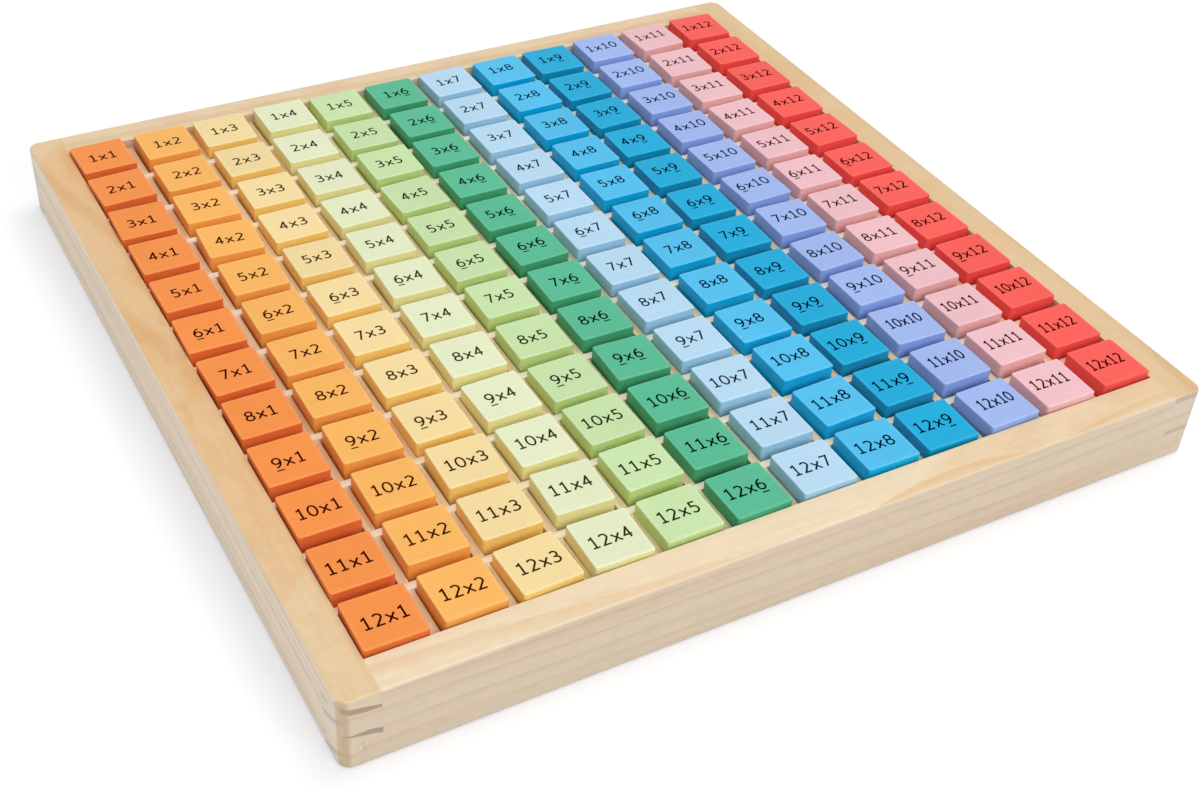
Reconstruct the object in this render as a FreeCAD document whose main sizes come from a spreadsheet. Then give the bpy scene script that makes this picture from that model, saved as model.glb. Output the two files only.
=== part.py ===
import FreeCAD, Part
import os
import Sketcher

# Multiplication board: a tray of four finger-jointed rails round a plywood base, a
# lattice of thin cross-lapped slats on the base, and one loose painted tile in each cell.
# Millimetres. The origin is at the bottom centre and +Z is up. The front rail is towards
# -Y, column 1 is towards -X and row 1 is at the back.

Vector = FreeCAD.Vector

DRIVING_SIZES = [
    ("tile_count", 12),
    ("tile_side", 20.0),
    ("tile_height", 20.0),
    ("tile_corner", 1.0),
    ("tile_edge", 0.5),
    ("tile_play", 0.5),
    ("slat_thickness", 3.0),
    ("slat_height", 14.5),
    ("slat_end_play", 0.2),
    ("lap_play", 0.1),
    ("rail_thickness", 12.5),
    ("rail_height", 27.0),
    ("top_finger", 6.0),
    ("middle_finger", 7.5),
    ("bottom_finger", 6.0),
    ("corner_radius", 4.0),
    ("edge_round", 1.0),
    ("panel_thickness", 3.5),
    ("panel_end_play", 0.6),
    ("groove_depth", 7.2),
    ("groove_play", 0.1),
    ("haunch_gap", 1.5),
]

DOC = FreeCAD.newDocument("MultiplicationBoard")
SHEET = DOC.addObject("Spreadsheet::Sheet", "Sizes")
for line, (alias, value) in enumerate(DRIVING_SIZES, start=1):
    SHEET.set(f"A{line}", alias)
    SHEET.set(f"B{line}", str(value))
    SHEET.setAlias(f"B{line}", alias)
DOC.recompute()

# Sizes that follow from the driving ones, as expressions on the sheet's cells
CELL_SIDE = "(Sizes.tile_side + 2 * Sizes.tile_play)"
PITCH = f"({CELL_SIDE} + Sizes.slat_thickness)"
OPENING = f"(Sizes.tile_count * {CELL_SIDE} + (Sizes.tile_count - 1) * Sizes.slat_thickness)"
OUTSIDE = f"({OPENING} + 2 * Sizes.rail_thickness)"
HALF_OUTSIDE = f"({OUTSIDE} / 2)"
SHOULDER = f"({OPENING} / 2)"
MIDDLE_TOP = "(Sizes.rail_height - Sizes.top_finger)"
MIDDLE_BOTTOM = f"({MIDDLE_TOP} - Sizes.middle_finger)"
GROOVE_TOP = "(Sizes.bottom_finger + Sizes.panel_thickness + Sizes.groove_play)"
GROOVE_FLOOR = "(Sizes.rail_thickness - Sizes.groove_depth)"
HAUNCH_TIP = f"({SHOULDER} + Sizes.groove_depth - Sizes.haunch_gap)"
PANEL_SIDE = f"({OPENING} + 2 * (Sizes.groove_depth - Sizes.panel_end_play))"
PANEL_TOP = "(Sizes.bottom_finger + Sizes.panel_thickness)"
SLAT_LENGTH = f"({OPENING} - 2 * Sizes.slat_end_play)"
HALF_SLAT = f"({SLAT_LENGTH} / 2)"
LAP_DEPTH = "(Sizes.slat_height / 2)"
HALF_LAP = "(Sizes.slat_thickness / 2 + Sizes.lap_play)"
HALF_TILE = "(Sizes.tile_side / 2)"
OUTER_CELL = f"((Sizes.tile_count - 1) / 2 * {PITCH})"
OUTER_SLAT = f"((Sizes.tile_count - 2) / 2 * {PITCH})"

TILE_COUNT = int(SHEET.tile_count)
SLAT_COUNT = TILE_COUNT - 1

# Edges this close to a level count as lying in it
SAME_LEVEL = 1e-4

NODES = []


def value_of(expression):
    return float(SHEET.evalExpression(expression))


def volume_after(body):
    DOC.recompute()
    return body.Shape.Volume


def new_body(name):
    return DOC.addObject("PartDesign::Body", name)


def new_sketch(body, name, role):
    planes = [feature for feature in body.Origin.OriginFeatures if feature.Role == role]
    sketch = body.newObject("Sketcher::SketchObject", name)
    sketch.AttachmentSupport = [(planes[0], "")]
    sketch.MapMode = "FlatFace"
    return sketch


def add_outline(sketch, name, corners):
    """Close a loop of straight sides whose corners are pairs of expressions."""
    first = sketch.GeometryCount
    points = [Vector(value_of(across), value_of(up), 0) for across, up in corners]
    for index, start in enumerate(points):
        end = points[(index + 1) % len(points)]
        sketch.addGeometry(Part.LineSegment(start, end), False)
    for index in range(len(corners)):
        side = first + index
        following = first + (index + 1) % len(corners)
        sketch.addConstraint(Sketcher.Constraint("Coincident", side, 2, following, 1))
        for kind, expression in zip(("DistanceX", "DistanceY"), corners[index]):
            constraint = Sketcher.Constraint(kind, -1, 1, side, 1, value_of(expression))
            number = sketch.addConstraint(constraint)
            label = f"{name}_{kind}_{index}"
            sketch.renameConstraint(number, label)
            sketch.setExpression(f"Constraints.{label}", expression)


def add_rectangle(sketch, name, left, right, low, high):
    add_outline(sketch, name, [(left, low), (right, low), (right, high), (left, high)])


def pad(body, name, sketch, length, side_type="One side"):
    feature = body.newObject("PartDesign::Pad", name)
    feature.Profile = sketch
    feature.SideType = side_type
    feature.setExpression("Length", length)
    if volume_after(body) <= 0:
        raise RuntimeError(f"{body.Label}: {name} makes nothing")
    return feature


def cut_through(body, name, sketch):
    """Cut the sketch's outlines right through the body, both ways from their plane."""
    before = body.Shape.Volume
    feature = body.newObject("PartDesign::Pocket", name)
    feature.Profile = sketch
    feature.SideType = "Symmetric"
    feature.Type = "ThroughAll"
    if volume_after(body) >= before:
        raise RuntimeError(f"{body.Label}: {name} cuts nothing")
    return feature


def dress(body, kind, name, base, wanted, size_name, size):
    """Fillet or chamfer the edges of the base feature that the test picks."""
    edges = [f"Edge{number}" for number, edge in enumerate(base.Shape.Edges, start=1) if wanted(edge)]
    feature = body.newObject(f"PartDesign::{kind}", name)
    feature.Base = (base, edges)
    feature.setExpression(size_name, size)
    DOC.recompute()
    return feature


def repeat(body, name, originals, axis, occurrences, backwards=False):
    feature = body.newObject("PartDesign::LinearPattern", name)
    if originals is None:
        feature.TransformMode = "Whole shape"
    else:
        feature.Originals = originals
    feature.Direction = axis
    feature.Reversed = backwards
    feature.Mode = "Spacing"
    feature.setExpression("Offset", PITCH)
    feature.setExpression("Occurrences", occurrences)
    body.Tip = feature
    DOC.recompute()
    return feature


def put(item, degrees=0, x=None, y=None, z=None):
    """Turn the item about Z and bind its place to the sheet."""
    item.Placement = FreeCAD.Placement(Vector(0, 0, 0), FreeCAD.Rotation(Vector(0, 0, 1), degrees))
    for axis, expression in (("x", x), ("y", y), ("z", z)):
        if expression is not None:
            item.setExpression(f".Placement.Base.{axis}", expression)


def keep(item, node):
    item.Label = node
    NODES.append(item)


def is_upright(edge):
    box = edge.BoundBox
    return box.ZLength > box.XLength + box.YLength


def lies_at(height):
    def test(edge):
        box = edge.BoundBox
        return max(abs(box.ZMin - height), abs(box.ZMax - height)) < SAME_LEVEL
    return test


# The assembled tray's outside: square in plan, rounded at the four corners, with its
# top and bottom edges eased. Every rail is trimmed to it, as if sanded after gluing.
def make_sanded_outside():
    body = new_body("SandedOutside")
    plan = new_sketch(body, "OutsidePlan", "XY_Plane")
    left = f"-{HALF_OUTSIDE}"
    add_rectangle(plan, "plan", left, HALF_OUTSIDE, left, HALF_OUTSIDE)
    block = pad(body, "OutsideBlock", plan, "Sizes.rail_height")
    rounded = dress(body, "Fillet", "OutsideCorners", block, is_upright, "Radius", "Sizes.corner_radius")
    rims = [lies_at(0), lies_at(value_of("Sizes.rail_height"))]
    dress(
        body,
        "Fillet",
        "OutsideRims",
        rounded,
        lambda edge: any(rim(edge) for rim in rims),
        "Radius",
        "Sizes.edge_round",
    )
    return body


# A rail in its own frame: its length along X, its outer face at y = 0 and its inner face
# towards +Y. The groove for the base panel runs the whole length of the inner face.
def make_rail_blank(name):
    body = new_body(name)
    plan = new_sketch(body, f"{name}Plan", "XY_Plane")
    add_rectangle(plan, "plan", f"-{HALF_OUTSIDE}", HALF_OUTSIDE, "0", "Sizes.rail_thickness")
    pad(body, f"{name}Bar", plan, "Sizes.rail_height")
    section = new_sketch(body, f"{name}GrooveSection", "YZ_Plane")
    add_rectangle(
        section, "groove", GROOVE_FLOOR, "Sizes.rail_thickness", "Sizes.bottom_finger", GROOVE_TOP
    )
    cut_through(body, f"{name}Groove", section)
    return body


# The side rails run through at the top of each corner, and again just above the groove.
def cut_side_rail_sockets(body, name):
    view = new_sketch(body, f"{name}SocketView", "XZ_Plane")
    for end, sign in (("near", "-"), ("far", "")):
        shoulder = f"{sign}{SHOULDER}"
        tip = f"{sign}{HALF_OUTSIDE}"
        add_rectangle(view, f"{end}_bottom", shoulder, tip, "0", "Sizes.bottom_finger")
        add_rectangle(view, f"{end}_middle", shoulder, tip, MIDDLE_BOTTOM, MIDDLE_TOP)
    cut_through(body, f"{name}Sockets", view)


# The front and back rails carry the fingers between, and a haunch on each end that fills
# the mouth of the side rail's groove, short of its floor by the haunch gap.
def cut_end_rail_sockets(body, name):
    view = new_sketch(body, f"{name}SocketView", "XZ_Plane")
    for end, sign in (("near", "-"), ("far", "")):
        shoulder = f"{sign}{SHOULDER}"
        tip = f"{sign}{HALF_OUTSIDE}"
        haunch_tip = f"{sign}{HAUNCH_TIP}"
        add_rectangle(view, f"{end}_top", shoulder, tip, MIDDLE_TOP, "Sizes.rail_height")
        stepped_socket = [
            (shoulder, GROOVE_TOP),
            (shoulder, MIDDLE_BOTTOM),
            (tip, MIDDLE_BOTTOM),
            (tip, "Sizes.bottom_finger"),
            (haunch_tip, "Sizes.bottom_finger"),
            (haunch_tip, GROOVE_TOP),
        ]
        add_outline(view, f"{end}_lower", stepped_socket)
    cut_through(body, f"{name}Sockets", view)


def make_rail(node, cut_sockets, degrees, outside, x=None, y=None):
    name = "".join(word.capitalize() for word in node.split("_"))
    blank = make_rail_blank(name)
    cut_sockets(blank, name)
    put(blank, degrees, x=x, y=y)
    rail = DOC.addObject("Part::MultiCommon", f"{name}Trimmed")
    rail.Shapes = [blank, outside]
    keep(rail, node)


def make_rails():
    outside = make_sanded_outside()
    make_rail("front_rail", cut_end_rail_sockets, 0, outside, y=f"-{HALF_OUTSIDE}")
    make_rail("right_rail", cut_side_rail_sockets, 90, outside, x=HALF_OUTSIDE)
    make_rail("back_rail", cut_end_rail_sockets, 180, outside, y=HALF_OUTSIDE)
    make_rail("left_rail", cut_side_rail_sockets, -90, outside, x=f"-{HALF_OUTSIDE}")


# The plywood base lies in the four grooves and rests on their lower cheeks.
def make_base_panel():
    panel = DOC.addObject("Part::Box", "BasePanel")
    panel.setExpression("Length", PANEL_SIDE)
    panel.setExpression("Width", PANEL_SIDE)
    panel.setExpression("Height", "Sizes.panel_thickness")
    corner = f"-{PANEL_SIDE} / 2"
    put(panel, x=corner, y=corner, z="Sizes.bottom_finger")
    keep(panel, "base_panel")


# A slat on edge with a notch at every crossing, half its height deep. Row slats are
# notched from below and column slats from above, so that each pair drops together.
def make_slat(node, notch_low, notch_high):
    name = "".join(word.capitalize() for word in node.split("_"))
    body = new_body(name)
    view = new_sketch(body, f"{name}View", "XZ_Plane")
    add_rectangle(view, "side", f"-{HALF_SLAT}", HALF_SLAT, "0", "Sizes.slat_height")
    pad(body, f"{name}Strip", view, "Sizes.slat_thickness", "Symmetric")
    notch = new_sketch(body, f"{name}NotchView", "XZ_Plane")
    left = f"-{OUTER_SLAT} - {HALF_LAP}"
    right = f"-{OUTER_SLAT} + {HALF_LAP}"
    add_rectangle(notch, "notch", left, right, notch_low, notch_high)
    cut = cut_through(body, f"{name}Notch", notch)
    repeat(body, f"{name}Notches", [cut], (notch, ["H_Axis"]), "Sizes.tile_count - 1")
    return body


def make_lattice():
    for number in range(1, SLAT_COUNT + 1):
        offset = f"{OUTER_SLAT} - {number - 1} * {PITCH}"
        row_node = f"row_slat_{number:02d}"
        row_slat = make_slat(row_node, "0", LAP_DEPTH)
        put(row_slat, y=offset, z=PANEL_TOP)
        keep(row_slat, row_node)
        column_node = f"column_slat_{number:02d}"
        column_slat = make_slat(column_node, LAP_DEPTH, "Sizes.slat_height")
        put(column_slat, 90, x=f"-({offset})", z=PANEL_TOP)
        keep(column_slat, column_node)


# One colour of tile fills one column: equal blocks, back to front, each loose in its cell.
def make_tile_column(node):
    name = "".join(word.capitalize() for word in node.split("_"))
    body = new_body(name)
    plan = new_sketch(body, f"{name}Plan", "XY_Plane")
    left = f"-{HALF_TILE}"
    front = f"{OUTER_CELL} - {HALF_TILE}"
    back = f"{OUTER_CELL} + {HALF_TILE}"
    add_rectangle(plan, "plan", left, HALF_TILE, front, back)
    block = pad(body, f"{name}Block", plan, "Sizes.tile_height")
    eased = dress(body, "Chamfer", f"{name}Corners", block, is_upright, "Size", "Sizes.tile_corner")
    on_top = lies_at(value_of("Sizes.tile_height"))
    dress(body, "Chamfer", f"{name}Rim", eased, on_top, "Size", "Sizes.tile_edge")
    repeat(body, f"{name}Blocks", None, (plan, ["V_Axis"]), "Sizes.tile_count", backwards=True)
    return body


def make_tiles():
    for number in range(1, TILE_COUNT + 1):
        node = f"tile_column_{number:02d}"
        column = make_tile_column(node)
        put(column, x=f"{number - 1} * {PITCH} - {OUTER_CELL}", z=PANEL_TOP)
        keep(column, node)


def check_document():
    DOC.recompute()
    for item in DOC.Objects:
        if "Invalid" in item.State or "Error" in item.State:
            raise RuntimeError(f"{item.Label} failed: {item.State}")
    for item in NODES:
        if item.Shape.isNull() or not item.Shape.isValid():
            raise RuntimeError(f"{item.Label} has no valid shape")


def write_nodes():
    os.makedirs("parts", exist_ok=True)
    for item in NODES:
        item.Shape.exportStep(f"parts/{item.Label}.step")


make_rails()
make_base_panel()
make_lattice()
make_tiles()
check_document()
write_nodes()
print(len(NODES), "nodes,", sum(len(item.Shape.Solids) for item in NODES), "solids")
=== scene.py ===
import math
import random
from dataclasses import dataclass

import bmesh
import bpy
from mathutils import Matrix, Quaternion, Vector


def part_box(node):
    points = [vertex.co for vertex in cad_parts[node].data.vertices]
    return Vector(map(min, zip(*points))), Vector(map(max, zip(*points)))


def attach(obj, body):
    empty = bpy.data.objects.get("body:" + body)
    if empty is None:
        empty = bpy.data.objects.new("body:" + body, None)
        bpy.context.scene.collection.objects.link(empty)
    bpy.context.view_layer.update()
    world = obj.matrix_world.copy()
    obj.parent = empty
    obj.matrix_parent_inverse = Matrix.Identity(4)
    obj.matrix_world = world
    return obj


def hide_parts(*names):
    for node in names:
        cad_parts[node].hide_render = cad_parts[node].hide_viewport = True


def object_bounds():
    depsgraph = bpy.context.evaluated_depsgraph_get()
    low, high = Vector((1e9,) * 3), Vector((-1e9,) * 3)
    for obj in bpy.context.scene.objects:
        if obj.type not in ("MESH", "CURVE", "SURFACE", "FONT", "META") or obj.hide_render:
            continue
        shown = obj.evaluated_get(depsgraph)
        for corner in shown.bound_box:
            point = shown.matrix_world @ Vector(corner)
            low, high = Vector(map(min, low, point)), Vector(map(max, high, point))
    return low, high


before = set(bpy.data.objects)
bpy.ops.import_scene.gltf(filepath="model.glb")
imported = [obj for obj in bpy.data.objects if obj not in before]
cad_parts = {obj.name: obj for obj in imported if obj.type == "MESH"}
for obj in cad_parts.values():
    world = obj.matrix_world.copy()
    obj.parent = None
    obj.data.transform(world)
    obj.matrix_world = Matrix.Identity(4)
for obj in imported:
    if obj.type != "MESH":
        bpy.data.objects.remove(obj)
cad_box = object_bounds()

MM = 0.001

# Camera, read off the perspective of the board's edges and tiles
CAMERA_PLACE = Vector((-254.2, -438.4, 376.3)) * MM
CAMERA_AIM = Vector((-30.1, -71.2, 27.0)) * MM
CAMERA_ROLL = math.radians(3.86)
CAMERA_LENS = 51.42

# Tiles
ROWS = 12
TILE_SHY = 0.08 * MM
TILE_CORNER = 0.9 * MM
LEAST_CORNER = 0.2 * MM
TILE_RIM = 0.42 * MM
# Pale band along the tiles' top rims, paint wear and painted highlight: how far in it reaches, how much
# it pales the paint and how much it lightens it
RIM_WEAR_AND_HIGHLIGHT = 0.8 * MM
WEAR_AND_HIGHLIGHT_PALING = 0.03
WEAR_AND_HIGHLIGHT_GAIN = 0.08
ROUND_STEPS = 3
TILE_SINK_SPREAD = 0.2 * MM
TILE_SLOPE = 0.005
TILE_YAW = math.radians(1.0)
TILE_YAW_LIMIT = math.radians(2.2)
TILE_SHIFT = 0.25 * MM
TILE_BACK = 0.25 * MM
TILE_PLAY = 0.03 * MM

# Printed sums
DIGIT_HEIGHT = 4.38 * MM
DIGIT_STROKE = 0.62 * MM
DIGIT_ADVANCE = 3.67 * MM
NARROW_ADVANCE = 3.02 * MM
TIGHT_ADVANCE = 2.82 * MM
TIGHT_BATCH = 10
WIDE_SUM = 5
LABEL_SHIFT = 0.25 * MM
LABEL_TURN = math.radians(1.0)
UNDERLINE_WIDTH = 2.4 * MM
UNDERLINE_DROP = 1.35 * MM
UNDERLINE_STROKE = 0.5 * MM
UNDERLINED = "69"
SAME_PLACE = 1e-9
MITRE_LIMIT = 0.35
INK_BELOW = 0.02 * MM
INK_ABOVE = 0.03 * MM
INK_SHOW_THROUGH = (0.02, 0.09)
INK_DEPTH = 3.0

# Softened edges of the rails and slats
CORNER_SEAM = 0.12 * MM
SLAT_EDGE = 0.25 * MM
WELD_REACH = 0.002 * MM
BEVEL_ANGLE = math.radians(40)

# Grain of the rails, in millimetres where it is a length
OUTSIDE = (cad_box[1][0] - cad_box[0][0]) / MM
RING_WAVE = 2.0
STREAK_WANDER = 3.0
FACE_LINE_SHARE = 0.62
END_GRAIN_SHARE = 0.9

# Gap between a haunch and the floor of the side rail's groove, and the glue in it
PANEL_END_PLAY = 0.6 * MM
HAUNCH_GAP = 1.5 * MM
FILLING_PLAY = 0.02 * MM
FILLING_RECESS = 0.05 * MM
FILLING_DEPTH = 4.5 * MM
FILLING_ROUND = 0.06 * MM

# Light, and how a camera sees the floor: the board's warm shadow on it turns neutral grey
WHITE = (1.0, 1.0, 1.0, 1.0)
ROOM_WHITE = (0.98, 0.99, 1.0, 1.0)
ROOM_LIGHT = 0.6
FLOOR_PLAIN = (0.86, 0.86, 0.86, 1.0)
FLOOR_GLOW = (0.263, 0.305, 0.360, 1.0)
FLOOR_SHADE = (0.810, 0.783, 0.746, 1.0)
FLOOR_FADE = (350.0, 800.0)
FLOOR_SIZE = 4.0
FLOOR_BELOW = 0.02 * MM


def linear(red, green, blue):
    """A display colour of 0 to 255 as the linear colour that nodes take."""
    def channel(value):
        share = value / 255
        return share / 12.92 if share <= 0.04045 else ((share + 0.055) / 1.055) ** 2.4
    return (channel(red), channel(green), channel(blue), 1.0)


RING_LINE = linear(204, 168, 130)
# Dark of the end-grain rings, also painted as shade along the bottom edge
END_RING_AND_FOOT_SHADE = linear(148, 122, 112)
# Painted shade on the rails' rounded upright corners
CORNER_PAINTED_SHADE = linear(188, 160, 120)
# Painted light on the rails' outer top edges: shade for the back and right, highlight for the front and
# left
EDGE_PAINTED_SHADE = linear(150, 130, 108)
EDGE_PAINTED_HIGHLIGHT = linear(255, 244, 226)


@dataclass
class Batch:
    """The twelve tiles of one colour, which were cut, painted and printed together.

    sink is how far their tops lie below the tallest, lean their shift to the right in their
    cells, and label the place of the printed sum from the middle of the tile, in millimetres.
    top is the paint's colour on the faces turned up, and side the same paint on the upright
    faces, painted darker and deeper as shade.
    """

    top: tuple
    side: tuple
    sink: float
    lean: float
    label: tuple


BATCHES = (
    Batch(linear(246, 146, 70), linear(230, 116, 56), 0.30, 0.10, (-0.2, -0.4)),
    Batch(linear(250, 183, 95), linear(245, 170, 82), 0.30, 0.00, (0.0, -0.2)),
    Batch(linear(245, 220, 160), linear(247, 209, 118), 0.30, -0.20, (-0.2, 0.1)),
    Batch(linear(229, 236, 197), linear(236, 232, 168), 0.35, 0.05, (-0.5, 0.1)),
    Batch(linear(200, 227, 171), linear(196, 219, 142), 0.40, -0.15, (-0.5, 0.1)),
    Batch(linear(86, 187, 147), linear(72, 168, 124), 0.50, -0.20, (-0.6, 0.3)),
    Batch(linear(184, 219, 242), linear(167, 212, 240), 0.40, 0.00, (-0.8, 0.4)),
    Batch(linear(79, 190, 237), linear(0, 175, 228), 0.30, 0.15, (-0.9, 0.5)),
    Batch(linear(0, 169, 217), linear(0, 150, 196), 0.75, -0.30, (-1.0, 0.7)),
    Batch(linear(160, 183, 238), linear(145, 174, 238), 0.20, 0.00, (-0.6, 0.9)),
    Batch(linear(238, 190, 197), linear(240, 186, 187), 0.05, 0.35, (-0.9, 0.9)),
    Batch(linear(247, 91, 82), linear(241, 82, 80), 0.10, 0.10, (-1.0, 0.8)),
)

# Tiles that lie out of line: row and column, then the shift to the right and back in
# millimetres, the turn in degrees and the depth of the top
STRAY_TILES = {
    (1, 4): (0.45, 0.3, 0.0, 0.0),
    (2, 12): (0.45, 0.4, -0.8, 0.0),
    (4, 2): (0.1, 0.05, -3.0, 0.1),
    (8, 9): (-0.5, -0.3, 0.5, 0.9),
    (8, 12): (-0.5, 0.3, 1.0, 0.3),
    (10, 3): (0.2, 0.4, -1.5, 0.0),
    (10, 8): (0.45, 0.4, 0.5, 0.0),
    (11, 1): (-0.2, -0.45, -0.5, 0.4),
    (12, 6): (-0.5, -0.2, 0.6, 0.6),
    (12, 12): (0.5, 0.4, -0.6, 0.0),
}


class Shader:
    """A material or world under construction, with short calls for the nodes that it uses."""

    def __init__(self, owner):
        self.owner = owner
        owner.use_nodes = True
        self.tree = owner.node_tree
        self.tree.nodes.clear()

    def add(self, kind, inputs, **settings):
        node = self.tree.nodes.new(kind)
        for key, value in settings.items():
            setattr(node, key, value)
        for key, value in inputs.items():
            if isinstance(value, bpy.types.NodeSocket):
                self.tree.links.new(value, node.inputs[key])
            else:
                node.inputs[key].default_value = value
        return node

    def math(self, operation, first, second=0.0, third=0.0):
        inputs = {0: first, 1: second, 2: third}
        return self.add("ShaderNodeMath", inputs, operation=operation).outputs[0]

    def remap(self, value, low, high, to_low=0.0, to_high=1.0, kind="SMOOTHSTEP"):
        """value carried from low..high to to_low..to_high, and clamped there."""
        inputs = {"Value": value, 1: low, 2: high, 3: to_low, 4: to_high}
        return self.add("ShaderNodeMapRange", inputs, interpolation_type=kind).outputs[0]

    def object_place_mm(self):
        place = self.add("ShaderNodeTexCoord", {}).outputs["Object"]
        inputs = {0: place, "Scale": 1 / MM}
        return self.add("ShaderNodeVectorMath", inputs, operation="SCALE").outputs[0]

    def surface_normal(self):
        return self.split(self.add("ShaderNodeNewGeometry", {}).outputs["Normal"])

    def attribute(self, name):
        return self.add("ShaderNodeAttribute", {}, attribute_name=name).outputs["Fac"]

    def seen_directly(self):
        """1 for a ray from the camera, also by way of gloss or glass, and 0 for others."""
        path = self.add("ShaderNodeLightPath", {}).outputs
        seen = self.math("MAXIMUM", path["Is Camera Ray"], path["Is Glossy Ray"])
        return self.math("MAXIMUM", seen, path["Is Transmission Ray"])

    def stretched(self, place, along, slow, fast):
        """place scaled for a texture that changes slowly along the grain and fast across it."""
        scales = [fast, fast, fast]
        scales[along] = slow
        inputs = {0: place, 1: tuple(scales)}
        return self.add("ShaderNodeVectorMath", inputs, operation="MULTIPLY").outputs[0]

    def split(self, vector):
        return self.add("ShaderNodeSeparateXYZ", {0: vector}).outputs

    def join(self, x, y, z):
        return self.add("ShaderNodeCombineXYZ", {0: x, 1: y, 2: z}).outputs[0]

    def noise(self, vector, scale=1.0, detail=2.0, distortion=0.0):
        inputs = {"Vector": vector, "Scale": scale, "Detail": detail, "Distortion": distortion}
        return self.add("ShaderNodeTexNoise", inputs).outputs["Fac"]

    def mix(self, factor, first, second, blend="MIX"):
        inputs = {0: factor, 6: first, 7: second}
        settings = {"data_type": "RGBA", "blend_type": blend, "clamp_factor": True}
        return self.add("ShaderNodeMix", inputs, **settings).outputs[2]

    def toned(self, colour, tone):
        """colour made darker or lighter by the factor tone."""
        return self.mix(1.0, colour, self.join(tone, tone, tone), blend="MULTIPLY")

    def ramp(self, factor, stops, kind="LINEAR"):
        """A grey value looked up at factor; stops are pairs of place and value."""
        node = self.add("ShaderNodeValToRGB", {0: factor})
        node.color_ramp.interpolation = kind
        elements = node.color_ramp.elements
        while len(elements) < len(stops):
            elements.new(0.5)
        for element, (place, value) in zip(elements, stops):
            element.position = place
            element.color = (value, value, value, 1.0)
        return node.outputs[0]

    def bump(self, height, distance, strength):
        inputs = {"Height": height, "Distance": distance, "Strength": strength}
        return self.add("ShaderNodeBump", inputs).outputs[0]

    def surface(self, colour, roughness, normal, **uniform):
        inputs = {"Base Color": colour, "Roughness": roughness, "Normal": normal}
        inputs.update({key.replace("_", " "): value for key, value in uniform.items()})
        shader = self.add("ShaderNodeBsdfPrincipled", inputs)
        self.add("ShaderNodeOutputMaterial", {0: shader.outputs[0]})
        return self.owner


def ring_profile(rings, low, high, shape):
    """Ramp stops over low..high mm that give each ring the same shape about its height."""
    stops = [(0.0, 0.0)]
    for height, strength in rings:
        for offset, share in shape:
            stops.append(((height + offset - low) / (high - low), share * strength))
    return [stop for stop in stops if 0.0 <= stop[0] <= 1.0]


@dataclass
class Streak:
    """A band of darker wood across the top of a rail, in millimetres.

    Its sharp edge lies inward of the outer face by that much at place, drifts inward by slope
    for each millimetre along the rail, and bends back outward over the spread. The band
    reaches outward from there by its width. It fades in over rise on that side, and over fall
    beyond the edge.
    """

    place: float
    inward: float
    slope: float = 0.0
    spread: float = 1000.0
    width: float = 5.0
    rise: float = 5.0
    fall: float = 0.5
    share: float = 1.0

    def shade(self, shader, length, inward):
        """How dark the streak is at a point, from 0 to its share."""
        along = shader.math("SUBTRACT", length, self.place)
        edge = shader.math("MULTIPLY_ADD", along, self.slope, self.inward)
        turn = shader.math("DIVIDE", along, self.spread)
        beyond = shader.math("MULTIPLY_ADD", turn, turn, shader.math("SUBTRACT", inward, edge))
        risen = shader.remap(beyond, -self.width, self.rise - self.width, 0.0, self.share)
        return shader.math("MULTIPLY", risen, shader.remap(beyond, 0.0, self.fall, 1.0, 0.0))


@dataclass
class Board:
    """How one rail was sawn. Places and sizes are in millimetres.

    along is the axis of the grain, 0 for x and 1 for y, and outer the place of the outer face
    on the other axis. pith is how far the ring centre lies beyond that face and below the
    bottom. rings are the heights at which rings meet the outer face, with their strengths, and
    course is how far they lie lower than that at places along the rail. end_lines is how dark
    the rings are on the end grain. The outer top edge carries painted light: a painted highlight
    on the front and left rails and painted shade on the back and right ones, given as a colour
    and how much of it shows. heart is where the top turns to heartwood, and streaks are the
    darker bands on it.
    """

    along: int
    outer: float
    pith: tuple
    rings: tuple
    course: tuple
    face: tuple
    top: tuple
    heart_colour: tuple
    streak_colour: tuple
    end: tuple
    end_lines: float
    edge_painted_light: tuple
    edge_painted_light_share: float
    heart: Streak
    streaks: tuple


FACE_LINE = ((-2.2, 0.0), (-0.8, 0.35), (-0.15, 1.0), (0.5, 0.1))
END_BAND = ((-2.3, 0.0), (-1.8, 0.85), (-0.1, 1.0), (0.3, 0.0))
RING_LOW, RING_HIGH = -5.0, 40.0
COURSE_REACH = 6.0


def ring_height(shader, board, length, inward, up):
    """The height at which the ring through each point meets the outer face, halfway along."""
    beyond, below = board.pith
    side = shader.math("ADD", inward, beyond)
    rise = shader.math("ADD", up, below)
    squares = shader.math("MULTIPLY_ADD", side, side, shader.math("MULTIPLY", rise, rise))
    meeting = shader.math("SQRT", shader.math("SUBTRACT", squares, beyond**2))
    height = shader.math("SUBTRACT", meeting, below)
    stops = [(0.5 + place / OUTSIDE, 0.5 + drop / COURSE_REACH / 2) for place, drop in board.course]
    course = shader.ramp(shader.math("MULTIPLY_ADD", length, 1 / OUTSIDE, 0.5), stops, "B_SPLINE")
    lowered = shader.remap(course, 0.0, 1.0, -COURSE_REACH, COURSE_REACH, "LINEAR")
    return shader.math("ADD", height, lowered)


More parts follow.
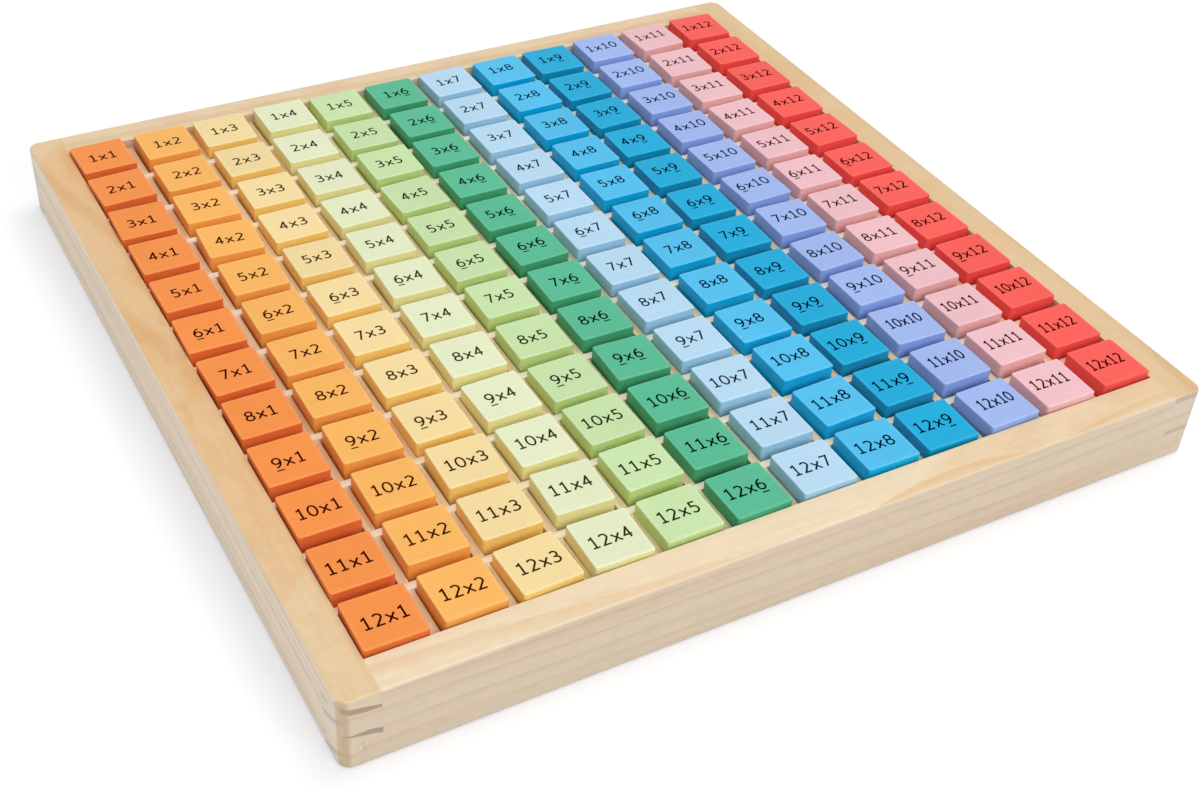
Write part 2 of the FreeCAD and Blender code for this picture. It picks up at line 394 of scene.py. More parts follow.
def wood(name, board):
    """Planed pine with growth rings in depth, so that faces show grain and ends show arcs."""
    shader = Shader(bpy.data.materials.new(name))
    place = shader.object_place_mm()
    axes = shader.split(place)
    along = board.along
    length, up = axes[along], axes[2]
    outward = math.copysign(1, board.outer)
    inward = shader.math("MULTIPLY_ADD", axes[1 - along], -outward, abs(board.outer))

    waves = shader.noise(shader.stretched(place, along, 0.02, 0.05), detail=2.0)
    fibre = shader.noise(shader.stretched(place, along, 0.02, 0.9), detail=3.0, distortion=0.5)
    grain = shader.noise(shader.stretched(place, along, 0.006, 0.35), detail=3.0)
    cloud = shader.noise(shader.stretched(place, along, 0.03, 0.07), detail=3.0, distortion=0.8)
    fleck = shader.noise(shader.stretched(place, along, 0.16, 0.22), detail=3.0, distortion=1.0)

    height = ring_height(shader, board, length, inward, up)
    height = shader.math("MULTIPLY_ADD", shader.math("SUBTRACT", waves, 0.5), RING_WAVE, height)
    height = shader.remap(height, RING_LOW, RING_HIGH, kind="LINEAR")
    lines = shader.ramp(height, ring_profile(board.rings, RING_LOW, RING_HIGH, FACE_LINE))
    main_rings = [(level, 1.0) for level, strength in board.rings if strength > 0.5]
    bands = shader.ramp(height, ring_profile(main_rings, RING_LOW, RING_HIGH, END_BAND))

    normal = shader.surface_normal()
    facing = [shader.math("ABSOLUTE", normal[axis]) for axis in (0, 1)]
    top_share = shader.remap(normal[2], 0.55, 0.95)
    end_share = shader.remap(facing[along], 0.5, 0.8)
    off_top = shader.math("SUBTRACT", 1.0, top_share)
    face_share = shader.math("MULTIPLY", off_top, shader.math("SUBTRACT", 1.0, end_share))
    # Painted shade on the rounded upright corners, where the surface faces both across and along
    corner_shade_share = shader.remap(shader.math("MINIMUM", *facing), 0.1, 0.5, 0.0, 0.6)
    # Painted light along the outer top edge, away from the ends: highlight or shade by board
    off_end = shader.remap(facing[along], 0.1, 0.3, 1.0, 0.0)
    above = shader.math("MULTIPLY", shader.remap(normal[2], 0.25, 0.5), off_end)
    edge_painted_light_share = shader.math("MULTIPLY", above, shader.remap(normal[2], 0.9, 0.995, board.edge_painted_light_share, 0.0))
    # Painted shade along the rounded bottom edge, where the board meets the floor
    below = shader.remap(normal[2], -0.5, -0.2, 0.6, 0.0)
    foot_painted_shade = shader.math("MULTIPLY", below, shader.remap(normal[2], -0.97, -0.85))

    wander = shader.math("MULTIPLY_ADD", shader.math("SUBTRACT", cloud, 0.5), STREAK_WANDER, inward)
    blotches = shader.remap(cloud, 0.4, 0.75, -0.2, 0.5)
    hearted = shader.math("ADD", board.heart.shade(shader, length, wander), blotches)
    top = shader.mix(hearted, board.top, board.heart_colour)
    for streak in board.streaks:
        top = shader.mix(streak.shade(shader, length, wander), top, board.streak_colour)
    top = shader.mix(shader.remap(grain, 0.45, 0.75, 0.0, 0.18), top, board.streak_colour)
    face = shader.mix(shader.remap(grain, 0.45, 0.75, 0.0, 0.3), board.face, RING_LINE)
    face_lines = shader.math("MULTIPLY", lines, shader.math("MULTIPLY", face_share, FACE_LINE_SHARE))
    face = shader.mix(face_lines, face, RING_LINE)
    colour = shader.mix(top_share, face, top)
    colour = shader.mix(shader.math("MULTIPLY", end_share, END_GRAIN_SHARE), colour, board.end)
    end_lines = shader.math("MULTIPLY", bands, shader.math("MULTIPLY", end_share, board.end_lines))
    colour = shader.mix(end_lines, colour, END_RING_AND_FOOT_SHADE)
    # Painted shade on the rounded upright corners
    colour = shader.mix(corner_shade_share, colour, CORNER_PAINTED_SHADE)
    # Painted highlight or painted shade on the outer top edge
    colour = shader.mix(edge_painted_light_share, colour, board.edge_painted_light)
    # Painted shade along the bottom edge
    colour = shader.mix(foot_painted_shade, colour, END_RING_AND_FOOT_SHADE)
    tone = shader.math(
        "MULTIPLY",
        shader.remap(fibre, 0.2, 0.8, 0.965, 1.02),
        shader.remap(fleck, 0.25, 0.75, 0.97, 1.02),
    )
    colour = shader.toned(colour, tone)

    relief = shader.bump(shader.math("MULTIPLY_ADD", lines, 0.4, fibre), 0.05 * MM, 0.25)
    roughness = shader.remap(fibre, 0.2, 0.8, 0.42, 0.56)
    return shader.surface(colour, roughness, relief, Specular_IOR_Level=0.3)


def slat_wood(name, along, pale, dark):
    """Thin sawn strips, each a shade of its own, with long fine fibres."""
    shader = Shader(bpy.data.materials.new(name))
    place = shader.object_place_mm()
    axes = shader.split(place)
    strip = shader.math("FLOOR", shader.math("DIVIDE", axes[1 - along], pitch / MM))
    board = shader.add("ShaderNodeTexWhiteNoise", {"W": strip}, noise_dimensions="1D").outputs["Value"]
    fibre = shader.noise(shader.stretched(place, along, 0.04, 1.8), detail=3.0)
    streak = shader.noise(shader.stretched(place, along, 0.01, 0.5), detail=2.0)
    colour = shader.mix(shader.remap(streak, 0.35, 0.7, 0.0, 0.8), pale, dark)
    own_tone = shader.remap(board, 0.0, 1.0, 0.95, 1.02)
    tone = shader.math("MULTIPLY", shader.remap(fibre, 0.2, 0.8, 0.92, 1.05), own_tone)
    colour = shader.toned(colour, tone)
    relief = shader.bump(fibre, 0.06 * MM, 0.4)
    return shader.surface(colour, 0.6, relief, Specular_IOR_Level=0.25)


def plywood(name):
    """Rotary-cut veneer: broad contour figure on both faces of the base."""
    pale, dark = linear(236, 214, 180), linear(212, 178, 134)
    shader = Shader(bpy.data.materials.new(name))
    place = shader.object_place_mm()
    broad = shader.noise(shader.stretched(place, 0, 0.004, 0.016), detail=2.0)
    contour = shader.math("FRACT", shader.math("MULTIPLY", broad, 11.0))
    figure = shader.ramp(contour, ((0.0, 0.35), (0.12, 0.0), (0.7, 0.15), (0.94, 1.0), (1.0, 0.35)))
    fibre = shader.noise(shader.stretched(place, 0, 0.04, 1.3), detail=3.0)
    colour = shader.mix(shader.math("MULTIPLY", figure, 0.4), pale, dark)
    tone = shader.remap(fibre, 0.2, 0.8, 0.92, 1.04)
    colour = shader.toned(colour, tone)
    relief = shader.bump(fibre, 0.05 * MM, 0.3)
    return shader.surface(colour, 0.55, relief, Specular_IOR_Level=0.3)


def paint(name, batch):
    """Satin paint on fine-grained wood, rims pale from wear and painted highlight, each tile its own
    shade.
    """
    shader = Shader(bpy.data.materials.new(name))
    place = shader.object_place_mm()
    tile = shader.attribute("tile_tone")
    own_offset = shader.join(0.0, tile, tile)
    grain_place = shader.stretched(place, 0, 0.12, 1.4)
    grain_place = shader.add("ShaderNodeVectorMath", {0: grain_place, 1: own_offset}).outputs[0]
    grain = shader.noise(grain_place, detail=2.0)
    peel = shader.noise(place, scale=0.9, detail=2.0)
    cloud = shader.noise(place, scale=0.06, detail=2.0)
    own_tone = shader.remap(tile, 0.0, 1.0, 0.975, 1.02)
    shade = shader.math("ADD", own_tone, shader.remap(cloud, 0.3, 0.7, -0.015, 0.015))
    shade = shader.math("MULTIPLY", shade, shader.remap(grain, 0.25, 0.75, 0.983, 1.009))
    shade = shader.math("MULTIPLY", shade, shader.remap(peel, 0.3, 0.7, 0.99, 1.008))
    upward = shader.surface_normal()[2]
    # Painted shade: upright faces take the darker side colour, faces turned up the top colour.
    coat = shader.mix(shader.remap(upward, 0.3, 0.8), batch.side, batch.top)
    # Pale rims, paint wear and a painted highlight: paled toward white and lightened
    wear_and_highlight = shader.attribute("rim_wear_and_highlight")
    wear_and_highlight = shader.math("MULTIPLY", wear_and_highlight, shader.remap(peel, 0.3, 0.7, 0.4, 1.0))
    coat = shader.mix(shader.math("MULTIPLY", wear_and_highlight, WEAR_AND_HIGHLIGHT_PALING), coat, WHITE)
    shade = shader.math("MULTIPLY", shade, shader.math("MULTIPLY_ADD", wear_and_highlight, WEAR_AND_HIGHLIGHT_GAIN, 1.0))
    height = shader.math("MULTIPLY_ADD", grain, 0.4, shader.math("MULTIPLY", peel, 0.6))
    relief = shader.bump(height, 0.03 * MM, 0.5)
    roughness = shader.remap(peel, 0.3, 0.7, 0.34, 0.42)
    return shader.surface(shader.toned(coat, shade), roughness, relief, Specular_IOR_Level=0.15)


def ink(name, batch):
    """Thin matt printing ink, a little uneven, that lets some of the paint show through."""
    shader = Shader(bpy.data.materials.new(name))
    speckle = shader.noise(shader.object_place_mm(), scale=2.5, detail=2.0)
    filtered = [channel**INK_DEPTH for channel in batch.top[:3]]
    thick, thin = ((*(share * channel for channel in filtered), 1.0) for share in INK_SHOW_THROUGH)
    colour = shader.mix(speckle, thick, thin)
    relief = shader.bump(speckle, 0.01 * MM, 0.3)
    return shader.surface(colour, 0.7, relief, Specular_IOR_Level=0.0)


def floor_finish(name):
    """A pale floor. Seen directly it is lifted to white, and it keeps the shadow of the board.

    Far from the board, where less light falls, it is lifted all the way.
    """
    shader = Shader(bpy.data.materials.new(name))
    seen = shader.seen_directly()
    plain = shader.add("ShaderNodeBsdfDiffuse", {"Color": FLOOR_PLAIN})
    shadowed = shader.add("ShaderNodeBsdfDiffuse", {"Color": FLOOR_SHADE})
    place = shader.object_place_mm()
    reach = shader.add("ShaderNodeVectorMath", {0: place}, operation="LENGTH").outputs["Value"]
    lift = shader.mix(shader.remap(reach, *FLOOR_FADE), FLOOR_GLOW, WHITE)
    glow = shader.add("ShaderNodeEmission", {"Color": lift, "Strength": 1.0})
    lifted = shader.add("ShaderNodeAddShader", {0: shadowed.outputs[0], 1: glow.outputs[0]})
    both = shader.add("ShaderNodeMixShader", {0: seen, 1: plain.outputs[0], 2: lifted.outputs[0]})
    shader.add("ShaderNodeOutputMaterial", {0: both.outputs[0]})
    return shader.owner


def mesh_object(name, bm, material, smooth=False):
    """A new object from bm, with one material."""
    mesh = bpy.data.meshes.new(name)
    bm.normal_update()
    bm.to_mesh(mesh)
    bm.free()
    mesh.materials.append(material)
    for polygon in mesh.polygons:
        polygon.use_smooth = smooth
    made = bpy.data.objects.new(name, mesh)
    bpy.context.scene.collection.objects.link(made)
    return made


def rounded_square(half, corner, steps):
    """Points of a square with rounded corners about the origin, anticlockwise."""
    points = []
    for quarter in range(4):
        start = quarter * math.pi / 2
        turn = Matrix.Rotation(start, 2)
        centre = turn @ Vector((half - corner, half - corner))
        for step in range(steps + 1):
            angle = start + step / steps * math.pi / 2
            points.append(centre + corner * Vector((math.cos(angle), math.sin(angle))))
    return points


def block_sections():
    """The rounded form of a tile from the bottom up.

    Each section is how far it is inset, its depth from the nearer end, whether that end is the
    top, and how much of the pale rim it carries, which is paint wear and painted highlight. That
    fades out over the flat of the top.
    """
    sections = []
    for step in range(ROUND_STEPS + 1):
        swing = step / ROUND_STEPS * math.pi / 2
        inset = TILE_RIM * (1 - math.sin(swing))
        depth = TILE_RIM * (1 - math.cos(swing))
        sections.append((inset, depth, False, 0.0))
    for step in range(ROUND_STEPS + 1):
        wear_and_highlight = step / ROUND_STEPS
        swing = wear_and_highlight * math.pi / 2
        inset = TILE_RIM * (1 - math.cos(swing))
        depth = TILE_RIM * (1 - math.sin(swing))
        sections.append((inset, depth, True, wear_and_highlight))
    sections.append((TILE_RIM + RIM_WEAR_AND_HIGHLIGHT, 0.0, True, 0.0))
    return sections


def add_block(bm, place, half, bottom, top, yaw, slope, tone):
    """A softened wooden cube: rounded upright corners and rounded top and bottom rims."""
    tone_layer = bm.verts.layers.float["tile_tone"]
    wear_and_highlight_layer = bm.verts.layers.float["rim_wear_and_highlight"]
    turn = Matrix.Rotation(yaw, 2)
    rings = []
    for inset, depth, at_top, wear_and_highlight in block_sections():
        level = top - depth if at_top else bottom + depth
        corner = max(TILE_CORNER - inset, LEAST_CORNER)
        ring = []
        for point in rounded_square(half - inset, corner, ROUND_STEPS):
            lean = (slope[0] * point.x + slope[1] * point.y) if at_top else 0.0
            spot = turn @ point
            vertex = bm.verts.new((place.x + spot.x, place.y + spot.y, level + lean))
            vertex[tone_layer] = tone
            # How much rim wear and painted highlight the paint shows here
            vertex[wear_and_highlight_layer] = wear_and_highlight
            ring.append(vertex)
        rings.append(ring)
    for lower, upper in zip(rings, rings[1:]):
        for index in range(len(lower)):
            following = (index + 1) % len(lower)
            bm.faces.new((lower[index], lower[following], upper[following], upper[index]))
    bm.faces.new(list(reversed(rings[0])))
    bm.faces.new(rings[-1])


def arc(centre_x, centre_y, radius_x, radius_y, start, end, steps=12):
    """Points on an ellipse from start to end, in degrees."""
    points = []
    for step in range(steps + 1):
        angle = math.radians(start + (end - start) * step / steps)
        points.append((centre_x + radius_x * math.cos(angle), centre_y + radius_y * math.sin(angle)))
    return points


def half_turned(strokes, width):
    """The same strokes turned upside down in a cell of that width."""
    return [[(width - x, 1 - y) for x, y in stroke] for stroke in strokes]


def digit_strokes():
    """The centre lines of each character, in units of the digit height.

    A line that ends where it starts is a closed ring.
    """
    cell = DIGIT_ADVANCE / DIGIT_HEIGHT
    middle = cell / 2
    six = [
        arc(middle, 0.30, 0.27, 0.30, 0, 360, 24),
        arc(middle + 0.21, 0.34, 0.48, 0.655, 178, 96),
    ]
    return {
        "0": [arc(middle, 0.5, 0.30, 0.5, 0, 360, 28)],
        "1": [
            [(middle - 0.23, 0.83), (middle + 0.02, 0.985), (middle + 0.02, 0.0)],
            [(middle - 0.24, 0.0), (middle + 0.26, 0.0)],
        ],
        "2": [
            arc(middle - 0.03, 0.73, 0.27, 0.27, 145, -28)
            + [(middle - 0.25, 0.0), (middle + 0.28, 0.0)],
        ],
        "3": [
            arc(middle - 0.04, 0.76, 0.25, 0.24, 140, -80),
            arc(middle - 0.06, 0.265, 0.32, 0.265, 88, -142),
            [(middle - 0.12, 0.525), (middle + 0.02, 0.525)],
        ],
        "4": [
            [(middle + 0.31, 0.27), (middle - 0.28, 0.27), (middle + 0.12, 0.97)],
            [(middle + 0.13, 1.04), (middle + 0.13, -0.04)],
        ],
        "5": [
            [(middle + 0.23, 1.0), (middle - 0.19, 1.0), (middle - 0.20, 0.58)]
            + arc(middle - 0.05, 0.30, 0.29, 0.31, 108, -140),
        ],
        "6": six,
        "7": [[(middle - 0.27, 1.0), (middle + 0.27, 1.0), (middle - 0.10, -0.04)]],
        "8": [
            arc(middle, 0.765, 0.235, 0.235, 0, 360, 24),
            arc(middle, 0.265, 0.28, 0.265, 0, 360, 24),
        ],
        "9": half_turned(six, cell),
        "x": [
            [(middle - 0.29, -0.04), (middle + 0.29, 0.70)],
            [(middle - 0.29, 0.70), (middle + 0.29, -0.04)],
        ],
    }


def ribbon(points, width, low, high):
    """A closed solid of that width along a flat line of points, with mitred turns and square ends."""
    bm = bmesh.new()
    closed = math.dist(points[0], points[-1]) < SAME_PLACE
    if closed:
        points = points[:-1]
    count = len(points)
    section = ((1, low), (-1, low), (-1, high), (1, high))
    posts = []
    for index, point in enumerate(points):
        here = Vector(point)
        ways = []
        if closed or index > 0:
            ways.append((here - Vector(points[index - 1])).normalized())
        if closed or index < count - 1:
            ways.append((Vector(points[(index + 1) % count]) - here).normalized())
        along = sum(ways, Vector((0.0, 0.0))).normalized()
        reach = width / 2 / max(along.dot(ways[0]), MITRE_LIMIT)
        offset = Vector((-along.y, along.x)) * reach
        posts.append([bm.verts.new((*(here + side * offset), level)) for side, level in section])
    spans = list(zip(posts, posts[1:])) + ([(posts[-1], posts[0])] if closed else [])
    for first, second in spans:
        for corner in range(4):
            following = (corner + 1) % 4
            bm.faces.new((first[corner], first[following], second[following], second[corner]))
    if not closed:
        bm.faces.new(posts[0][::-1])
        bm.faces.new(posts[-1])
    bmesh.ops.recalc_face_normals(bm, faces=bm.faces)
    return bm


def fused(name, solids):
    """One mesh from overlapping closed solids."""
    objects = []
    for number, bm in enumerate(solids):
        mesh = bpy.data.meshes.new(f"{name}_{number}")
        bm.to_mesh(mesh)
        bm.free()
        part = bpy.data.objects.new(mesh.name, mesh)
        bpy.context.scene.collection.objects.link(part)
        objects.append(part)
    for part in objects[1:]:
        union = objects[0].modifiers.new("union", "BOOLEAN")
        union.operation = "UNION"
        union.solver = "EXACT"
        union.object = part
    graph = bpy.context.evaluated_depsgraph_get()
    whole = bpy.data.meshes.new_from_object(objects[0].evaluated_get(graph))
    whole.name = name
    for part in objects:
        bpy.data.objects.remove(part)
    return whole


def make_characters(advance):
    """The mesh of each character and of the underline in a cell of that width, at height zero."""
    characters = {}
    squeeze = advance / DIGIT_ADVANCE
    for character, strokes in digit_strokes().items():
        solids = []
        for number, stroke in enumerate(strokes):
            scaled = [(x * squeeze * DIGIT_HEIGHT, y * DIGIT_HEIGHT) for x, y in stroke]
            solids.append(ribbon(scaled, DIGIT_STROKE, -INK_BELOW, INK_ABOVE))
        characters[character] = fused(f"character_{character}", solids)
    middle = advance / 2
    half = UNDERLINE_WIDTH / 2
    ends = [(middle - half, -UNDERLINE_DROP), (middle + half, -UNDERLINE_DROP)]
    characters["_"] = fused("underline", [ribbon(ends, UNDERLINE_STROKE, -INK_BELOW, INK_ABOVE)])
    return characters


def label_advance(text, number):
    """How wide a cell each character of a sum has: the longest sums are set closer."""
    if len(text) < WIDE_SUM:
        return DIGIT_ADVANCE
    return TIGHT_ADVANCE if number == TIGHT_BATCH else NARROW_ADVANCE


def add_label(bm, characters, advance, text, place):
    """The sum printed on one tile; place is the matrix of its centre on the tile's top."""
    width = len(text) * advance
    for index, character in enumerate(text):
        shift = Matrix.Translation((index * advance - width / 2, -DIGIT_HEIGHT / 2, 0.0))
        parts = (character, "_") if character in UNDERLINED else (character,)
        for part in parts:
            start = len(bm.verts)
            bm.from_mesh(characters[part])
            bm.verts.ensure_lookup_table()
            bmesh.ops.transform(bm, matrix=place @ shift, verts=bm.verts[start:])


def room_for_yaw(half, yaw):
    """How far a turned tile can still shift in its cell."""
    swing = abs(yaw)
    reach = (half - TILE_CORNER) * (math.cos(swing) + math.sin(swing)) + TILE_CORNER
    return max(cell_side / 2 - reach - TILE_PLAY, 0.0)


def clamp(value, limit):
    return max(-limit, min(limit, value))


def tile_pose(row, number, half, dice):
    """Shift, turn and depth of one loose tile in its cell."""
    batch = BATCHES[number - 1]
    shift = Vector((dice.gauss(batch.lean * MM, TILE_SHIFT), dice.gauss(TILE_BACK, TILE_SHIFT)))
    yaw = clamp(dice.gauss(0, TILE_YAW), TILE_YAW_LIMIT)
    sink = batch.sink * MM + dice.uniform(0, TILE_SINK_SPREAD)
    if (row, number) in STRAY_TILES:
        right, back, turn, depth = STRAY_TILES[row, number]
        shift = Vector((right, back)) * MM
        yaw = math.radians(turn)
        sink = depth * MM
    play = room_for_yaw(half, yaw)
    return Vector((clamp(shift.x, play), clamp(shift.y, play))), yaw, sink


def make_column(number, node, typefaces, dice):
    """One column of twelve loose tiles and the sums printed on them."""
    low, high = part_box(node)
    half = (high.x - low.x) / 2 - TILE_SHY
    batch = BATCHES[number - 1]
    label = Vector((*batch.label, 0.0)) * MM
    tiles = bmesh.new()
    tiles.verts.layers.float.new("tile_tone")
    # Rim wear and painted highlight, read by the paint
    tiles.verts.layers.float.new("rim_wear_and_highlight")
    prints = bmesh.new()
    for row in range(1, ROWS + 1):
        shift, yaw, sink = tile_pose(row, number, half, dice)
        across = (low.x + high.x) / 2 + shift.x
        back = high.y - half - TILE_SHY - (row - 1) * pitch + shift.y
        centre = Vector((across, back, 0.0))
        slope = (dice.uniform(-TILE_SLOPE, TILE_SLOPE), dice.uniform(-TILE_SLOPE, TILE_SLOPE))
        top = high.z - INK_ABOVE - half * (abs(slope[0]) + abs(slope[1])) - sink
        add_block(tiles, centre, half, low.z, top, yaw, slope, dice.random())
        spot = label + Vector((dice.gauss(0, LABEL_SHIFT), dice.gauss(0, LABEL_SHIFT), 0.0))
        lean = Matrix.Identity(4)
        lean[2][0], lean[2][1] = slope
        place = (
            Matrix.Translation((centre.x, centre.y, top))
            @ Matrix.Rotation(yaw, 4, "Z")
            @ lean
            @ Matrix.Translation(spot)
            @ Matrix.Rotation(dice.gauss(0, LABEL_TURN), 4, "Z")
        )
        text = f"{row}x{number}"
        advance = label_advance(text, number)
        add_label(prints, typefaces[advance], advance, text, place)
    coat = paint(f"satin_{number:02}", batch)
    body = mesh_object(f"painted_tiles_{number:02}", tiles, coat, smooth=True)
    body.modifiers.new("even_shading", "WEIGHTED_NORMAL").keep_sharp = False
    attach(body, "root")
    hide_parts(node)
    sums = mesh_object(f"printed_sums_{number:02}", prints, ink(f"sum_ink_{number:02}", batch))
    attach(sums, "root")


def soften_edges(node, width):
    """Breaks the sharp edges of a CAD node by that width."""
    weld = node.modifiers.new("weld", "WELD")
    weld.merge_threshold = WELD_REACH
    bevel = node.modifiers.new("soft_edges", "BEVEL")
    bevel.width = width
    bevel.segments = 2
    bevel.limit_method = "ANGLE"
    bevel.angle_limit = BEVEL_ANGLE
    bevel.harden_normals = False
    even = node.modifiers.new("even_shading", "WEIGHTED_NORMAL")
    even.keep_sharp = False


def finish_wood(name, material, edge):
    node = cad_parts[name]
    node.data.materials.clear()
    node.data.materials.append(material)
    if edge:
        soften_edges(node, edge)


def finish_frame():
    """The four rails, each from a board of its own, and the slats and base between them."""
    front_rings = ((5.2, 0.6), (10.8, 0.7), (17.5, 0.9), (23.4, 0.9), (28.5, 0.8), (34.0, 0.7))
    back_rings = ((4.0, 0.5), (9.0, 0.8), (15.0, 0.7), (20.6, 0.9), (25.5, 0.7), (31.0, 0.8))
    left_rings = ((3.0, 0.25), (8.4, 0.8), (14.0, 0.2), (20.2, 0.95), (25.0, 0.2), (29.4, 0.9))
    right_rings = ((6.0, 0.6), (12.8, 0.9), (19.0, 0.4), (26.6, 0.9), (33.0, 0.8))
    front_course = ((-155, -2.8), (-90, -1.2), (0, 0.0), (85, 1.7), (130, -0.4), (155, -1.0))
    back_course = ((-155, 1.5), (-40, -1.0), (60, 0.8), (155, -1.5))
    left_course = ((-155, 4.6), (-130, 4.0), (-60, 1.0), (0, -0.4), (60, 0.8), (115, 2.2), (155, 2.6))
    right_course = ((-155, 0.0), (-60, 1.5), (40, -0.5), (155, 1.0))
    far_heart = Streak(0, 4, 0.02, width=40, rise=20, fall=12, share=0.5)
    face = OUTSIDE / 2
    boards = {
        "front_rail": Board(
            0, -face, (40, 75), front_rings, front_course,
            linear(214, 197, 175), linear(239, 218, 185), linear(231, 201, 161), linear(224, 180, 126),
            linear(240, 224, 206), 0.35, EDGE_PAINTED_HIGHLIGHT, 0.12,
            Streak(40, 0, 0.5, width=200, rise=10, fall=8, share=0.8),
            (
                Streak(-142, 9.3, -0.075, width=5.5, rise=4.5, fall=1.5, share=0.35),
                Streak(52, 3.8, spread=15.4, width=3.2, rise=3.0, fall=0.8, share=0.55),
                Streak(140, 4.4, spread=21.7, width=3.6, rise=3.2, fall=0.8, share=0.5),
            ),
        ),
        "back_rail": Board(
            0, face, (40, 75), back_rings, back_course,
            linear(226, 209, 184), linear(234, 211, 176), linear(228, 196, 156), linear(214, 176, 130),
            linear(234, 220, 204), 0.3, EDGE_PAINTED_SHADE, 0.5,
            far_heart,
            (Streak(0, 8.5, 0.004, width=3.5, rise=2.5, fall=2.0, share=0.4),),
        ),
        # The left rail's face is painted paler than its wood as painted light on that side.
        "left_rail": Board(
            1, -face, (15, 70), left_rings, left_course,
            linear(245, 226, 202), linear(231, 202, 159), linear(228, 180, 124), linear(212, 158, 100),
            linear(212, 194, 168), 0.8, EDGE_PAINTED_HIGHLIGHT, 0.1,
            Streak(-113, 0, 0.96, width=250, rise=12, fall=5, share=0.6),
            (
                Streak(132, 0, -0.26, width=6.0, rise=4.0, fall=3.0, share=0.4),
                Streak(8, 9, -0.3, width=6.0, rise=4.0, fall=4.0, share=0.25),
            ),
        ),
        "right_rail": Board(
            1, face, (-5, 60), right_rings, right_course,
            linear(230, 212, 188), linear(226, 197, 155), linear(222, 186, 138), linear(208, 164, 110),
            linear(212, 195, 174), 0.4, EDGE_PAINTED_SHADE, 0.5,
            far_heart,
            (Streak(-128, 0, -0.17, width=3.5, rise=2.5, fall=3.0, share=0.4),),
        ),
    }
    for node, board in boards.items():
        finish_wood(node, wood(f"{node}_pine", board), CORNER_SEAM)
    # One wood for all slats: the row slats are painted paler as light in the gaps between tiles, the
    # column slats darker than them as painted shade.
    row_slat_lit_finish = slat_wood("row_slat_wood_painted_light", 0, linear(255, 246, 226), linear(250, 228, 194))
    column_slat_shaded_finish = slat_wood("column_slat_wood_painted_shade", 1, linear(250, 228, 190), linear(232, 196, 148))
    for node in sorted(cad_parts):
        if node.startswith("row_slat"):
            finish_wood(node, row_slat_lit_finish, SLAT_EDGE)
        elif node.startswith("column_slat"):
            finish_wood(node, column_slat_shaded_finish, SLAT_EDGE)
    finish_wood("base_panel", plywood("base_veneer"), 0)


def glue(name):
    """Dried glue and wood dust, pale and cloudy."""
    shader = Shader(bpy.data.materials.new(name))
    place = shader.object_place_mm()
    cloud = shader.noise(place, scale=0.9, detail=3.0)
    grit = shader.noise(place, scale=5.0, detail=2.0)
    colour = shader.mix(shader.remap(cloud, 0.35, 0.65), linear(196, 184, 186), linear(224, 204, 166))
    relief = shader.bump(grit, 0.1 * MM, 0.5)
    return shader.surface(colour, 0.5, relief, Specular_IOR_Level=0.3)


def make_haunch_fillings():
    """The glue that shows in the short gap between each haunch and the floor of the groove."""
    finish = glue("squeezed_glue")
    panel_low, panel_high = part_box("base_panel")
    rail_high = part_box("left_rail")[1]
    outer = panel_high.x + PANEL_END_PLAY - FILLING_PLAY
    inner = outer - HAUNCH_GAP + 2 * FILLING_PLAY
    face = rail_high.y - FILLING_RECESS
    for x_side, x_name in ((-1, "left"), (1, "right")):
        for y_side, y_name in ((-1, "front"), (1, "back")):
            bm = bmesh.new()
            bmesh.ops.create_cube(bm, size=1.0)
            for vertex in bm.verts:
                across = inner if vertex.co.x < 0 else outer
                depth = face - FILLING_DEPTH if vertex.co.y < 0 else face
                level = panel_low.z + FILLING_PLAY if vertex.co.z < 0 else panel_high.z
                vertex.co = (x_side * across, y_side * depth, level)
            if x_side * y_side < 0:
                bmesh.ops.reverse_faces(bm, faces=bm.faces)
            filling = mesh_object(f"{y_name}_{x_name}_glue", bm, finish)
            soft = filling.modifiers.new("soft_edges", "BEVEL")
            soft.width = FILLING_ROUND
            soft.segments = 2
            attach(filling, "root")


def make_floor():
    bm = bmesh.new()
    bmesh.ops.create_grid(bm, x_segments=1, y_segments=1, size=FLOOR_SIZE)
    bmesh.ops.translate(bm, verts=bm.verts, vec=(0, 0, -FLOOR_BELOW))
    floor = mesh_object("floor", bm, floor_finish("floor_white"))


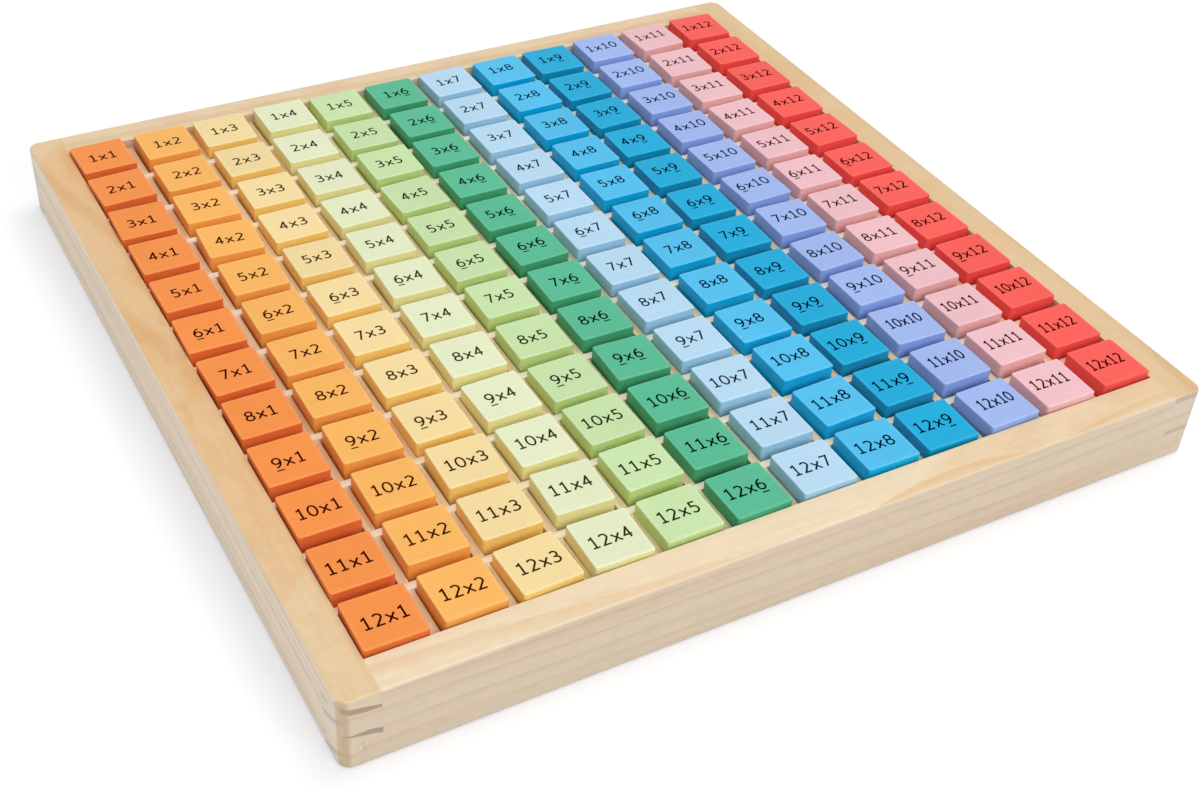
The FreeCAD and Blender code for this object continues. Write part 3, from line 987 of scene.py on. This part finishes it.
def softbox(name, direction, distance, size, energy, colour):
    """An area lamp, so wide and so high, that looks at the board from that direction."""
    lamp = bpy.data.lights.new(name, "AREA")
    lamp.shape = "RECTANGLE"
    lamp.size, lamp.size_y = size
    lamp.energy = energy
    lamp.color = colour
    box = bpy.data.objects.new(name, lamp)
    box.location = Vector(direction).normalized() * distance
    box.rotation_mode = "QUATERNION"
    box.rotation_quaternion = Vector(direction).to_track_quat("Z", "Y")
    bpy.context.scene.collection.objects.link(box)


def make_light():
    """An even white room, a broad softbox overhead and a smaller one in front."""
    world = bpy.data.worlds.new("studio")
    bpy.context.scene.world = world
    shader = Shader(world)
    seen = shader.seen_directly()
    room = shader.add("ShaderNodeBackground", {"Color": ROOM_WHITE, "Strength": ROOM_LIGHT})
    backdrop = shader.add("ShaderNodeBackground", {"Color": WHITE, "Strength": 1.0})
    both = shader.add("ShaderNodeMixShader", {0: seen, 1: room.outputs[0], 2: backdrop.outputs[0]})
    shader.add("ShaderNodeOutputWorld", {0: both.outputs[0]})
    softbox("overhead_softbox", (0.35, 0.15, 0.92), 3.0, (1.8, 1.8), 26.5, (1.0, 0.985, 0.96))
    softbox("front_softbox", (0.0, -0.84, 0.54), 2.5, (2.6, 0.8), 23.0, (1.0, 0.99, 0.98))


def make_camera():
    data = bpy.data.cameras.new("camera")
    data.sensor_width = 36.0
    data.lens = CAMERA_LENS
    data.clip_start = 0.01
    camera = bpy.data.objects.new("camera", data)
    camera.location = CAMERA_PLACE
    camera.rotation_mode = "QUATERNION"
    aim = (CAMERA_AIM - CAMERA_PLACE).to_track_quat("-Z", "Y")
    camera.rotation_quaternion = aim @ Quaternion((0.0, 0.0, 1.0), CAMERA_ROLL)
    bpy.context.scene.collection.objects.link(camera)
    bpy.context.scene.camera = camera


tile_nodes = sorted(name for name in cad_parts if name.startswith("tile_column"))
first_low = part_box(tile_nodes[0])[0]
second_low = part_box(tile_nodes[1])[0]
slat_low, slat_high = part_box("column_slat_01")
pitch = second_low.x - first_low.x
cell_side = pitch - (slat_high.x - slat_low.x)

finish_frame()
make_haunch_fillings()
advances = (DIGIT_ADVANCE, NARROW_ADVANCE, TIGHT_ADVANCE)
typefaces = {advance: make_characters(advance) for advance in advances}
dice = random.Random(144)
for number, node in enumerate(tile_nodes, start=1):
    make_column(number, node, typefaces, dice)
make_floor()
make_light()
make_camera()
bpy.context.scene.view_settings.view_transform = "Standard"
